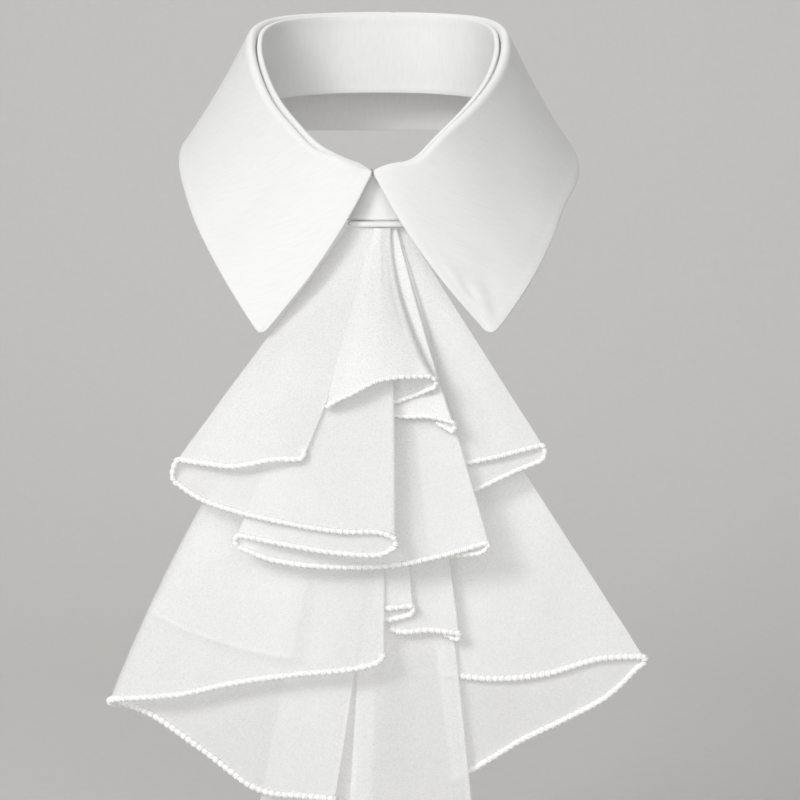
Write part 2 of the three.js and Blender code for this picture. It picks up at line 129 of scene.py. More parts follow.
# One node with its settings and inputs; an input that is another node's output becomes a link.
def addNode(tree, kind, settings=None, inputs=None):
    node = tree.nodes.new(kind)
    for name, value in (settings or {}).items():
        setattr(node, name, value)
    for name, value in (inputs or {}).items():
        if isinstance(value, bpy.types.NodeSocket):
            tree.links.new(value, node.inputs[name])
        else:
            node.inputs[name].default_value = value
    return node


def newMaterial(name):
    material = bpy.data.materials.new(name)
    material.use_nodes = True
    material.node_tree.nodes.clear()
    return material, material.node_tree


# Cotton and polyester poplin, woven, interlined and pressed: a flat even white with the faintest
# weave, and soft slubs that break the light along the threads.
def makePoplin():
    cloth = {"light": "#E6E6E5", "dark": "#E2E2E1", "thread": 0.95, "slub": 1.4, "depth": 0.015}
    material, tree = newMaterial("poplinWovenPressed")
    uv = addNode(tree, "ShaderNodeUVMap", {"uv_map": "cloth"}).outputs["UV"]
    axes = addNode(tree, "ShaderNodeSeparateXYZ", None, {"Vector": uv})
    # Real threads are 0.2 mm apart; they are drawn 0.95 mm apart so that they show.
    turns = 2 * math.pi / (cloth["thread"] * mm)
    waves = []
    for axis in ("X", "Y"):
        phase = addNode(tree, "ShaderNodeMath", {"operation": "MULTIPLY"}, {0: axes.outputs[axis], 1: turns})
        waves.append(addNode(tree, "ShaderNodeMath", {"operation": "SINE"}, {0: phase.outputs[0]}).outputs[0])
    weave = addNode(tree, "ShaderNodeMath", {"operation": "MULTIPLY"}, {0: waves[0], 1: waves[1]})
    stretched = addNode(tree, "ShaderNodeMapping", None, {"Vector": uv, "Scale": (1.0, 0.2, 1.0)})
    slubs = addNode(
        tree, "ShaderNodeTexNoise", None,
        {"Vector": stretched.outputs[0], "Scale": 1 / (cloth["slub"] * mm), "Detail": 3.0},
    )
    colour = addNode(tree, "ShaderNodeValToRGB", None, {"Fac": slubs.outputs["Fac"]})
    colour.color_ramp.elements[0].position = 0.3
    colour.color_ramp.elements[0].color = linear(cloth["dark"])
    colour.color_ramp.elements[1].position = 0.7
    colour.color_ramp.elements[1].color = linear(cloth["light"])
    rough = addNode(
        tree, "ShaderNodeMapRange", None,
        {"Value": slubs.outputs["Fac"], "To Min": 0.62, "To Max": 0.78},
    )
    fine = addNode(
        tree, "ShaderNodeBump", None,
        {"Height": weave.outputs[0], "Strength": 0.4, "Distance": cloth["depth"] * mm},
    )
    bump = addNode(
        tree, "ShaderNodeBump", None,
        {"Height": slubs.outputs["Fac"], "Strength": 0.2, "Distance": 0.02 * mm, "Normal": fine.outputs[0]},
    )
    shader = addNode(
        tree, "ShaderNodeBsdfPrincipled", None,
        {
            "Base Color": colour.outputs["Color"], "Roughness": rough.outputs[0], "Normal": bump.outputs[0],
            "IOR": 1.47, "Sheen Weight": 0.12, "Sheen Roughness": 0.5,
        },
    )
    addNode(tree, "ShaderNodeOutputMaterial", None, {"Surface": shader.outputs[0]})
    return material


# A material whose colour, gloss and relief all follow one fine noise. Sizes are in millimetres, and
# finish goes to the shader as it is.
def makeGrainy(name, grain, finish):
    material, tree = newMaterial(name)
    place = addNode(tree, "ShaderNodeTexCoord").outputs["Object"]
    noiseInputs = {"Vector": place, "Scale": 1 / (grain["size"] * mm), "Detail": grain["detail"]}
    if "noiseRoughness" in grain:
        noiseInputs["Roughness"] = grain["noiseRoughness"]
    fleck = addNode(tree, "ShaderNodeTexNoise", None, noiseInputs).outputs["Fac"]
    colour = addNode(tree, "ShaderNodeValToRGB", None, {"Fac": fleck})
    for stop, position, tone in zip(colour.color_ramp.elements, grain["stops"], ("dark", "light")):
        stop.position = position
        stop.color = linear(grain[tone])
    inputs = {"Base Color": colour.outputs["Color"], **finish}
    if "rough" in grain:
        low, high = grain["rough"]
        rough = addNode(tree, "ShaderNodeMapRange", None, {"Value": fleck, "To Min": low, "To Max": high})
        inputs["Roughness"] = rough.outputs[0]
    if "depth" in grain:
        bumpInputs = {"Height": fleck, "Strength": grain["strength"], "Distance": grain["depth"] * mm}
        inputs["Normal"] = addNode(tree, "ShaderNodeBump", None, bumpInputs).outputs[0]
    shader = addNode(tree, "ShaderNodeBsdfPrincipled", None, inputs)
    addNode(tree, "ShaderNodeOutputMaterial", None, {"Surface": shader.outputs[0]})
    return material


# Polyester crepe chiffon: sheer, greyish where it lies single and white where it is doubled, with
# the fine grain of its twisted yarn. The real grain is about 0.3 mm; it is drawn at 0.6 mm so that
# it shows.
def makeChiffon(name, alpha):
    grain = {
        "light": "#FFFFFF", "dark": "#EAEAE9", "stops": (0.32, 0.6), "size": 0.62, "detail": 2.0,
        "noiseRoughness": 0.7, "rough": (0.68, 0.9), "depth": 0.16, "strength": 0.4,
    }
    return makeGrainy(name, grain, {
        "IOR": 1.45, "Alpha": alpha, "Sheen Weight": 0.2, "Sheen Roughness": 0.4,
    })


# Textured polyester thread, wound close by an overlock machine: whiter and duller than the cloth,
# with a soft fuzz on each loop.
def makeThread():
    fuzz = {
        "light": "#FCFCFB", "dark": "#F0F0EE", "stops": (0.35, 0.6), "size": 0.35, "detail": 3.0,
        "rough": (0.7, 0.9), "depth": 0.08, "strength": 0.5,
    }
    return makeGrainy("overlockThreadWound", fuzz, {
        "IOR": 1.5, "Sheen Weight": 0.15, "Sheen Roughness": 0.5,
    })


# Nickel-plated brass wire, drawn and bent: grey and bright, with short drawing scratches.
def makeNickel():
    scratches = {
        "light": "#C9C7C1", "dark": "#A5A39D", "stops": (0, 1), "size": 0.2, "detail": 4.0,
        "rough": (0.22, 0.42),
    }
    return makeGrainy("nickelPlatedWire", scratches, {"Metallic": 1.0})


# Matt studio paper, with a barely seen fibre.
def makePaper():
    fibre = {"light": "#C6C5C3", "dark": "#C1C0BE", "stops": (0, 1), "size": 6, "detail": 4.0}
    return makeGrainy("studioPaperMatt", fibre, {"Roughness": 0.9})


poplin = makePoplin()
chiffon = makeChiffon("chiffonCrepeWoven", 0.35)
# The front pleat lies over all the others. It takes a more opaque copy of the chiffon, so it hides more of
# what is behind it and reads brighter than the layers beside it: painted brightness standing in for the light
# that falls on this pleat.
brightenedChiffon = makeChiffon("chiffonCrepePaintedBright", 0.58)
thread = makeThread()
nickel = makeNickel()
print("materials made")


# The faces of a closed body, turned outwards if they are not.
def facedOut(points, faces):
    volume = sum(
        points[f[0]].dot(points[f[k]].cross(points[f[k + 1]])) for f in faces for k in range(1, len(f) - 1)
    )
    return [tuple(reversed(f)) for f in faces] if volume < 0 else faces


# Directions square to a grid of points, from the neighbours of each point across and down.
def gridNormals(grid):
    rows, columns = len(grid), len(grid[0])
    normals = []
    for i in range(rows):
        line = []
        for j in range(columns):
            down = grid[min(i + 1, rows - 1)][j] - grid[max(i - 1, 0)][j]
            across = grid[i][min(j + 1, columns - 1)] - grid[i][max(j - 1, 0)]
            line.append(across.cross(down).normalized())
        normals.append(line)
    return normals


# A closed cloth wall about a grid of points in millimetres. wallAt gives its thickness, and its UV
# map "cloth" is in metres of cloth.
def clothWall(name, grid, wallAt, material):
    rows, columns = len(grid), len(grid[0])
    normals = gridNormals(grid)
    front = []
    back = []
    across = []
    down = [[0.0] * columns for _ in range(rows)]
    for i in range(rows):
        lengths = lengthsAlong(grid[i])
        across.append([x - lengths[-1] / 2 for x in lengths])
        for j in range(columns):
            half = wallAt(i, j) / 2
            front.append((grid[i][j] + normals[i][j] * half) * mm)
            back.append((grid[i][j] - normals[i][j] * half) * mm)
            if i > 0:
                down[i][j] = down[i - 1][j] + (grid[i][j] - grid[i - 1][j]).length
    count = rows * columns
    faces = []
    for i in range(rows - 1):
        for j in range(columns - 1):
            a = i * columns + j
            faces.append((a, a + columns, a + columns + 1, a + 1))
            faces.append((count + a, count + a + 1, count + a + columns + 1, count + a + columns))
    for j in range(columns - 1):
        low = (rows - 1) * columns + j
        faces.append((j, j + 1, count + j + 1, count + j))
        faces.append((low, count + low, count + low + 1, low + 1))
    for i in range(rows - 1):
        a = i * columns
        b = a + columns - 1
        faces.append((a, count + a, count + a + columns, a + columns))
        faces.append((b, b + columns, count + b + columns, count + b))
    points = front + back
    mesh = bpy.data.meshes.new(name)
    mesh.from_pydata(points, [], facedOut(points, faces))
    layer = mesh.uv_layers.new(name="cloth")
    for loop in mesh.loops:
        i, j = divmod(loop.vertex_index % count, columns)
        layer.data[loop.index].uv = (across[i][j] * mm, down[i][j] * mm)
    mesh.shade_smooth()
    mesh.set_sharp_from_angle(angle=math.radians(55))
    mesh.materials.append(material)
    return placeObject(name, mesh)


def declareCloth(piece, node):
    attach(piece, "root")
    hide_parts(node)


# The collar

collar = {
    "wall": 1.25,       # interlined poplin, two layers
    "rollInner": 1.3,
    "rollOuter": 1.6,
    "rollDepth": 4,
    "roll": 1.2,        # height of the roll above where its sides begin
    "ridge": 0.14,      # extra thickness over the seam allowance
    "ridgeFrom": 2.3,   # how far the ridge lies inside the edge
    "edgeRound": 0.6,
    "throatShift": -1.8,
    "throatReach": 17,
    "throatDepth": 3,   # near the throat, the inside of the roll: its depth,
    "throatInner": 0.4,  # its share of rollInner
    "throatRoll": 0.7,  # and its share of roll
    "throatFrom": 2,    # it is like this up to here, across from the middle,
    "throatTo": 8,      # and has the full sizes from here
    "stepsRound": 8,
    "ripple": 0.35,     # gentle unevenness of the leaves
    "rippleLength": 26,
    "calmLines": 16,    # grid lines of the roll, without ripple or creases
    "rippledLines": 26,  # grid line from which the ripple is full
    "creasedTo": -40,   # creases lie in front of this y
    "facingLine": -8,   # a grid line near the edge, to tell outside from inside
    "edgeShare": 0.12,  # thickness left at the very edge
    "ridgeWidth": 1.5,
    "stitchDip": 0.45,  # the line of stitching inside the ridge sinks by this share of it
    "stitchFrom": 5.2,
    "stitchWidth": 1.2,
}


def section(fx, fy, fz, ex, ey, ez, bow, puff, rx, rz, rf):
    return {
        "fx": fx, "fy": fy, "fz": fz, "ex": ex, "ey": ey, "ez": ez,
        "bow": bow, "puff": puff, "rx": rx, "rz": rz, "rf": rf, "away": fx,
    }


# Half of the collar from the throat to the back: the roll, the outer edge, how the leaf swings
# towards the throat and puffs outwards, and how the right-hand edge and roll differ from the left.
collarSections = [
    section(0.5, -61.1, -1.6, 45.2, -84, -65.2, 3.3, 1, -1, 0, 0),
    section(4.6, -60.4, -0.8, 47.8, -84.2, -66.6, 3.2, 0.6, -1, 0, 1.2),
    section(8.5, -59.6, 0.8, 51.2, -82.4, -64.4, 2, -0.6, 0, 0, 0.6),
    section(17, -57.2, 4, 63.8, -67, -47.6, 0.6, -1.6, 0.3, -1, -0.8),
    section(27, -52, 7.2, 74.6, -46, -32.4, 0, -1.8, -0.6, -1.6, 5.6),
    section(37, -43, 16.2, 81.8, -28, -19.8, 0, -1, -1.6, -1.8, 5),
    section(46, -32, 26, 87.8, -5, -6.6, 0, 0, 0.4, -3, 4.2),
    section(52.4, -19, 37.6, 89, 12, 1.6, 0, 0.4, 0, -2.6, 1.4),
    section(56, -4, 49.4, 86, 25, 6.2, 0, 0.2, -0.6, -1, 0),
    section(54.6, 14, 57, 78, 46, 7.4, 0, 0.8, 0, 0, 0),
    section(45, 36, 60.6, 61, 66, 7.2, 0, 1.6, 0, 0, 0),
    section(25, 52, 62, 33, 80, 6.8, 0, 2, 0, 0, 0),
    section(0, 57.6, 62.4, 0, 84.6, 6.6, 0, 2, 0, 0, 0),
]

# Small pressed creases: x and z of the middle, angle, half length, half width and height.
creases = [
    (33, -44, -38, 6, 1.5, 0.9),
    (38.5, -49.5, -46, 7, 1.3, -1.0),
    (43, -53.5, -62, 6, 1.6, 1.0),
    (36, -35, -30, 9, 3, 0.7),
    (47.5, -52, -75, 7, 1.8, -0.7),
    (-40, -50, 40, 9, 3, 0.25),
]


def smoothRows(rows, steps):
    names = rows[0].keys()
    fine = []
    for k in range(len(rows) - 1):
        before, beyond = rows[max(k - 1, 0)], rows[min(k + 2, len(rows) - 1)]
        here, after = rows[k], rows[k + 1]
        for s in range(steps):
            fine.append({n: smooth(before[n], here[n], after[n], beyond[n], s / steps) for n in names})
    fine.append(rows[-1])
    return fine


# The closure is pulled a little to the left of the middle.
def throatShift(s):
    return collar["throatShift"] * max(0, 1 - s["away"] / collar["throatReach"])


def outwards(s):
    return Vector((s["fx"], s["fy"], 0)).normalized()


# Points down one section, closer together at both ends of the line.
def spacedLine(points, startGaps, middle, endGaps):
    lengths = lengthsAlong(points)
    total = lengths[-1]
    places = list(startGaps)
    first, last = startGaps[-1], total - endGaps[0]
    places += [mix(first, last, k / middle) for k in range(1, middle)]
    places += [total - gap for gap in endGaps]
    return [pointAtLength(points, lengths, place) for place in places]


def fallGrid():
    left = [{**s, "fx": throatShift(s) - s["fx"], "ex": -s["ex"]} for s in collarSections]
    right = [
        {
            **s, "fx": throatShift(s) + s["fx"], "fz": s["fz"] + s["rf"],
            "ex": s["ex"] + s["rx"], "ez": s["ez"] + s["rz"], "bow": -s["bow"],
        }
        for s in reversed(collarSections[:-1])
    ]
    columns = []
    for s in smoothRows(left + right, collar["stepsRound"]):
        fold = Vector((s["fx"], s["fy"], s["fz"]))
        edge = Vector((s["ex"], s["ey"], s["ez"]))
        out = outwards(s)
        drop = Vector((0, 0, -collar["roll"]))
        # The part inside the roll runs out towards the throat, in front of the hook and the eye.
        leg = ease(collar["throatFrom"], collar["throatTo"], s["away"])
        inner = fold - out * collar["rollInner"] * mix(collar["throatInner"], 1, leg)
        outer = fold + out * collar["rollOuter"]
        depth = mix(collar["throatDepth"], collar["rollDepth"], leg)
        innerTop = inner + drop * mix(collar["throatRoll"], 1, leg)
        line = [inner - Vector((0, 0, depth)), innerTop, fold, outer + drop]
        for v in (0.06, 0.2, 0.42, 0.7, 1):
            swing = 4 * v * (1 - v)
            p = outer.lerp(edge, v) + drop * (1 - v)
            p.x += s["bow"] * swing
            line.append(p + out * s["puff"] * swing)
        rollGaps = [0, 0.3, 0.8, 1.6] + [2.4 + 0.5 * k for k in range(13)]
        edgeGaps = [7, 5, 3.8, 3, 2.4, 1.8, 1.3, 0.9, 0.6, 0.35, 0.15, 0]
        columns.append(spacedLine(smoothLine(line, 10), rollGaps, 18, edgeGaps))
    grid = [[c[i] for c in columns] for i in range(len(columns[0]))]
    # The lift of a crease is forwards on the left leaf, and so on all of the piece.
    normals = gridNormals(grid)
    facing = -1 if normals[collar["facingLine"]][len(columns) // 4].y > 0 else 1
    for i, line in enumerate(grid):
        for j, p in enumerate(line):
            if i < collar["calmLines"]:
                continue
            rippled = ease(collar["calmLines"], collar["rippledLines"], i)
            lift = collar["ripple"] * noise.noise(p / collar["rippleLength"]) * rippled
            for x, z, angle, length, width, height in creases:
                if p.y > collar["creasedTo"]:
                    continue
                turn = math.radians(angle)
                along = (p.x - x) * math.cos(turn) + (p.z - z) * math.sin(turn)
                aside = -(p.x - x) * math.sin(turn) + (p.z - z) * math.cos(turn)
                lift += height * hump(along, length) * hump(aside, width)
            line[j] = p + normals[i][j] * lift * facing
    return grid


# Thickness of a pressed collar piece: rounded at its edges and puffed over the seam allowance.
def edgedWall(grid, wall, ridge, sides):
    rows, columns = len(grid), len(grid[0])
    down = [lengthsAlong([line[j] for line in grid]) for j in range(columns)]
    across = [lengthsAlong(line) for line in grid]

    def wallAt(i, j):
        gaps = {
            "bottom": down[j][-1] - down[j][i],
            "top": down[j][i],
            "ends": min(across[i][j], across[i][-1] - across[i][j]),
        }
        near = min(gaps.values())
        t = min(near / collar["edgeRound"], 1)
        rounding = mix(collar["edgeShare"], 1, math.sqrt(1 - (1 - t) ** 2))
        seam = min(gaps[side] for side in sides)
        swell = hump(seam - collar["ridgeFrom"], collar["ridgeWidth"])
        dip = collar["stitchDip"] * hump(seam - collar["stitchFrom"], collar["stitchWidth"])
        return (wall + ridge * (swell - dip)) * rounding

    return wallAt


def makeFall():
    grid = fallGrid()
    wallAt = edgedWall(grid, collar["wall"], collar["ridge"], ("bottom", "ends"))
    piece = clothWall("fall_cloth", grid, wallAt, poplin)
    declareCloth(piece, "collar_fall")


stand = {
    "wall": 2.0,
    "inset": 3.9,       # centre line inside the roll of the fall
    "ridge": 0.35,
    "lapOuterX": -12.5,
    "lapInnerX": -1.2,
    "lapInset": 2.75,
    "lapFrom": 17,
    "lapTo": 29,
}


def standSection(fx, fy, fz, drop, flare, rf=0):
    return {"fx": fx, "fy": fy, "fz": fz, "drop": drop, "flare": flare, "rf": rf}


standSections = [
    standSection(0, -60.4, -2.6, 19.8, 3),
    standSection(8.5, -59.6, 1.2, 23.6, 3.2),
    standSection(17, -57.2, 4, 26, 3.6),
    standSection(27, -52, 9.4, 29, 4, 3.4),
    standSection(37, -43, 18, 32, 4.4, 3.2),
    standSection(46, -32, 27.4, 34, 4.8, 2.6),
    standSection(52.4, -19, 38, 35, 5, 0.8),
    standSection(56, -4, 48.8, 36, 5),
    standSection(54.6, 14, 56.4, 36, 5),
    standSection(45, 36, 60, 36, 5),
    standSection(25, 52, 61.4, 36, 4),
    standSection(0, 57.6, 61.8, 36, 4),
]
lapSections = [
    standSection(-6, -60, 0, 22.4, 3.1),
    standSection(stand["lapOuterX"], -58.7, 2.6, 25, 3.4),
]


def standGrid():
    left = [
        {**s, "fx": -s["fx"], "tuck": stand["lapInset"] * ease(-stand["lapTo"], -stand["lapFrom"], -s["fx"])}
        for s in standSections
    ]
    left[0]["fx"] = stand["lapInnerX"]
    right = [
        {**s, "tuck": 0, "fz": s["fz"] + s["rf"], "drop": s["drop"] + s["rf"]}
        for s in list(reversed(standSections[:-1])) + lapSections
    ]
    columns = []
    for s in smoothRows(left + right, collar["stepsRound"]):
        out = outwards(s)
        line = []
        for v in (0, 0.15, 0.3, 0.48, 0.65, 0.82, 1):
            p = Vector((s["fx"], s["fy"], s["fz"] - s["drop"] * v))
            line.append(p + out * (s["flare"] * v * v - stand["inset"] - s["tuck"]))
        gaps = [0, 0.15, 0.4, 0.8, 1.3, 2, 3, 4.4, 6]
        columns.append(spacedLine(smoothLine(line, 4), gaps, 8, list(reversed(gaps))))
    return [[c[i] for c in columns] for i in range(len(columns[0]))]


def makeStand():
    grid = standGrid()
    wallAt = edgedWall(grid, stand["wall"], stand["ridge"], ("bottom", "top", "ends"))
    piece = clothWall("stand_cloth", grid, wallAt, poplin)
    declareCloth(piece, "collar_stand")


makeFall()
makeStand()
print("collar made")


# The band that the jabot is sewn to: a folded strip, its corners soft.
band = {
    "halfWidth": 12.6, "back": -56.6, "front": -63.5, "top": -22.6, "bottom": -24.8,
    "bend": 1.1,            # its ends lie this much further back
    "endPower": 14,         # how square its ends, its depth and its height are
    "depthPower": 0.22,
    "heightPower": 0.3,
    "stations": 40,
    "around": 24,
}


def makeBand():
    middleY, middleZ = (band["back"] + band["front"]) / 2, (band["top"] + band["bottom"]) / 2
    halfDeep, halfHigh = (band["back"] - band["front"]) / 2, (band["top"] - band["bottom"]) / 2
    points, faces = [], []
    stations, around = band["stations"], band["around"]
    for k in range(stations + 1):
        t = -1 + 2 * k / stations
        end = max(1 - abs(t) ** band["endPower"], 0.02) ** 0.5
        bend = band["bend"] * t * t
        for a in range(around):
            angle = 2 * math.pi * a / around
            c, s = math.cos(angle), math.sin(angle)
            y = middleY + bend + halfDeep * end * math.copysign(abs(c) ** band["depthPower"], c)
            z = middleZ + halfHigh * end * math.copysign(abs(s) ** band["heightPower"], s)
            points.append(Vector((band["halfWidth"] * t, y, z)) * mm)
    for k in range(stations):
        for a in range(around):
            b = (a + 1) % around
            faces.append((k * around + a, k * around + b, (k + 1) * around + b, (k + 1) * around + a))
    faces.append(tuple(range(around))[::-1])
    faces.append(tuple(range(stations * around, (stations + 1) * around)))
    mesh = bpy.data.meshes.new("band_cloth")
    mesh.from_pydata(points, [], facedOut(points, faces))
    layer = mesh.uv_layers.new(name="cloth")
    for loop in mesh.loops:
        p = points[loop.vertex_index]
        layer.data[loop.index].uv = (p.x, p.z + p.y)
    mesh.shade_smooth()
    mesh.materials.append(poplin)
    piece = placeObject("band_cloth", mesh)
    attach(piece, "root")
    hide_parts("jabot_band")


makeBand()
print("band made")


# The hang of the ruffles by height: the chest behind them, and how far apart the layers lie in the
# lower tier (layers 0 to 9) and in the upper tier. Under the band the thin cloth lies closer.
hang = {
    "z": [-22, -40, -60, -90, -120, -165, -210, -255, -300],
    "chest": [-56, -57.2, -59, -62, -66, -74, -81.5, -87, -91],
    "lower": [0.26, 0.86, 1.42, 1.72, 1.95, 2.3, 2.65, 2.9, 3.1],
    "upper": [1.38, 1.5, 1.75, 2.2, 2.55, 2.8, 2.8, 2.8, 2.8],
    "tierLayer": 9,
    "closeAtTop": 0.34,
    "closeAbove": -25,
    "looseBelow": -92,
}


def atHeight(z, column):
    heights, values = hang["z"], hang[column]
    k = 0
    while k < len(heights) - 2 and z < heights[k + 1]:
        k += 1
    t = min(max((heights[k] - z) / (heights[k] - heights[k + 1]), 0), 1)
    before, beyond = max(k - 1, 0), min(k + 2, len(heights) - 1)
    return smooth(values[before], values[k], values[k + 1], values[beyond], t)


def depthAt(z, layer):
    close = mix(hang["closeAtTop"], 1, ease(-hang["closeAbove"], -hang["looseBelow"], -z))
    low = min(layer, hang["tierLayer"]) * atHeight(z, "lower")
    high = max(layer - hang["tierLayer"], 0) * atHeight(z, "upper")
    return atHeight(z, "chest") - (low + high) * close


# From a place on the front view to x and z, for cloth lying in a given layer.
def placeInLayer(across, down, layer):
    right = (across - frontView["middle"]) * frontView["unit"] / frontView["distance"]
    up = (frontView["middle"] - down) * frontView["unit"] / frontView["distance"]
    rayY = math.cos(tilt) + up * math.sin(tilt)
    rayZ = up * math.cos(tilt) - math.sin(tilt)
    x, z = 0, ruffles["firstGuess"]
    for _ in range(ruffles["guesses"]):
        reach = (depthAt(z, layer) - eyePoint.y) / rayY
        x = eyePoint.x + reach * right
        z = eyePoint.z + reach * rayZ
    return x, z


ruffles = {
    "wall": 0.3,
    "step": 2.4,        # along the hem
    "turnSteps": 9,     # round each fold
    "levels": 44,       # from the top line to the hem
    "swayBroad": 1.5,   # all the layers sway together
    "broadWidth": 34,
    "broadHeight": 60,
    "swayOwn": 0.4,     # and each a little by itself
    "ownWidth": 13,
    "ownHeight": 34,
    "swayEased": 0.5,   # share of the drop where the sway is full
    "flutter": 0.5,     # at the hem
    "flutterLength": 9,
    "firstGuess": -150,  # height to start from when a place on the view is sought
    "guesses": 10,
    "tierTop": -60,
    "pleatTop": -25.35,
}


# One place along a hem: across and down on the front view, layer, x on the top line, bow (the
# sideways swing of the fall line at its middle), and turn (1 folds back round on the right).
def row(across, down, layer, top, bow=0, turn=0):
    return {"across": across, "down": down, "layer": layer, "top": top, "bow": bow, "turn": turn}


def pathAlongHem(rows):
    names = ("across", "down", "layer", "top", "bow")
    path = []
    for k, here in enumerate(rows):
        still = {**here, "side": 0, "half": 0, "mid": here["layer"]}
        if k == len(rows) - 1:
            path.append(still)
            break
        after = rows[k + 1]
        if here["turn"]:
            path.append(still)
            for s in range(1, ruffles["turnSteps"] + 1):
                angle = math.pi * s / (ruffles["turnSteps"] + 1)
                place = {n: mix(here[n], after[n], (1 - math.cos(angle)) / 2) for n in names}
                place["side"] = here["turn"] * math.sin(angle)
                place["half"] = abs(here["layer"] - after["layer"]) / 2
                place["mid"] = (here["layer"] + after["layer"]) / 2
                path.append(place)
            continue
        before = rows[k - 1] if k > 0 and not rows[k - 1]["turn"] else here
        beyond = rows[k + 2] if not after["turn"] and k + 2 < len(rows) else after
        gap = math.hypot(after["across"] - here["across"], after["down"] - here["down"])
        steps = max(3, round(gap * frontView["unit"] / ruffles["step"]))
        for s in range(steps):
            place = {n: smooth(before[n], here[n], after[n], beyond[n], s / steps) for n in names}
            path.append({**place, "side": 0, "half": 0, "mid": place["layer"]})
    return path


def sway(x, z, layer, v):
    broadPlace = Vector((x / ruffles["broadWidth"], 1.7, z / ruffles["broadHeight"]))
    ownPlace = Vector((x / ruffles["ownWidth"], layer * 1.9, z / ruffles["ownHeight"]))
    together = ruffles["swayBroad"] * noise.noise(broadPlace)
    alone = ruffles["swayOwn"] * noise.noise(ownPlace)
    return (together + alone) * ease(0.02, ruffles["swayEased"], v)


# The soft fold at a side edge of a ruffle: round its edge and a little way back behind it.
softFold = {
    "radius": 0.5,
    "back": 1.6,
    "atTop": 0.1,       # radius at the top, and share of back there
    "fullBy": 0.5,      # share of the drop from which the radius is full
    "steps": 5,
    "inside": 4,        # the cloth's way inwards is taken to this column
}


def foldedEdge(grid, atStart):
    folded = []
    last = len(grid) - 1
    for i, line in enumerate(grid):
        v = i / last
        step = softFold["inside"]
        edge, inside = (line[0], line[step]) if atStart else (line[-1], line[-1 - step])
        side = 0 if atStart else -1
        fall = (grid[min(i + 1, last)][side] - grid[max(i - 1, 0)][side]).normalized()
        inwards = inside - edge
        inwards = (inwards - fall * inwards.dot(fall)).normalized()
        behind = Vector((0, 1, 0)) - inwards * inwards.y
        behind.normalize()
        radius = mix(softFold["atTop"], softFold["radius"], ease(0, softFold["fullBy"], v))
        back = softFold["back"] * mix(softFold["atTop"], 1, v)
        extra = []
        for k in range(1, softFold["steps"] + 1):
            angle = math.pi * k / softFold["steps"]
            extra.append(edge - inwards * radius * math.sin(angle) + behind * radius * (1 - math.cos(angle)))
        for share in (0.2, 0.5, 1):
            extra.append(edge + inwards * back * share + behind * radius * 2)
        folded.append(list(reversed(extra)) + line if atStart else line + extra)
    return folded


def hungGrid(rows, topZ):
    path = pathAlongHem(rows)
    hems = [placeInLayer(p["across"], p["down"], p["layer"]) for p in path]
    grid = []
    for i in range(ruffles["levels"] + 1):
        v = i / ruffles["levels"]
        line = []
        for p, (hemX, hemZ) in zip(path, hems):
            z = mix(topZ, hemZ, v)
            x = mix(p["top"], hemX, v) + p["bow"] * frontView["unit"] * 4 * v * (1 - v)
            if p["half"] > 0:
                x += p["side"] * abs(depthAt(z, p["mid"] - p["half"]) - depthAt(z, p["mid"] + p["half"])) / 2
            line.append(Vector((x, depthAt(z, p["layer"]) + sway(x, z, p["layer"], v), z)))
        grid.append(line)
    # The free hem flutters a little, square to the cloth.
    normals = gridNormals(grid)
    for i, line in enumerate(grid):
        v = i / ruffles["levels"]
        for j, p in enumerate(line):
            length = ruffles["flutterLength"]
            wave = noise.noise(Vector((p.x / length, p.z / length, path[j]["layer"])))
            line[j] = p + normals[i][j] * ruffles["flutter"] * wave * v ** 4
    return grid


# Overlocked hem: a thread cord along the edge of the cloth, swelling into a row of small scallops,
# with the loops of the overlock wound round it. The tree follows the edge line, which carries the
# directions square to the cloth and off its edge.
serging = {
    "Step": 0.42,
    "Cord": 1.45,       # radius at the top of a scallop
    "Thread": 0.42,
    "Valley": 0.66,     # radius between scallops, as a share
    "Scallop length": 2.8,
    "Scallop height": 0.7,
    "Slant": math.radians(20),
    "Seed": 7,
}
plainNumbers = ("Slant", "Valley", "Seed")


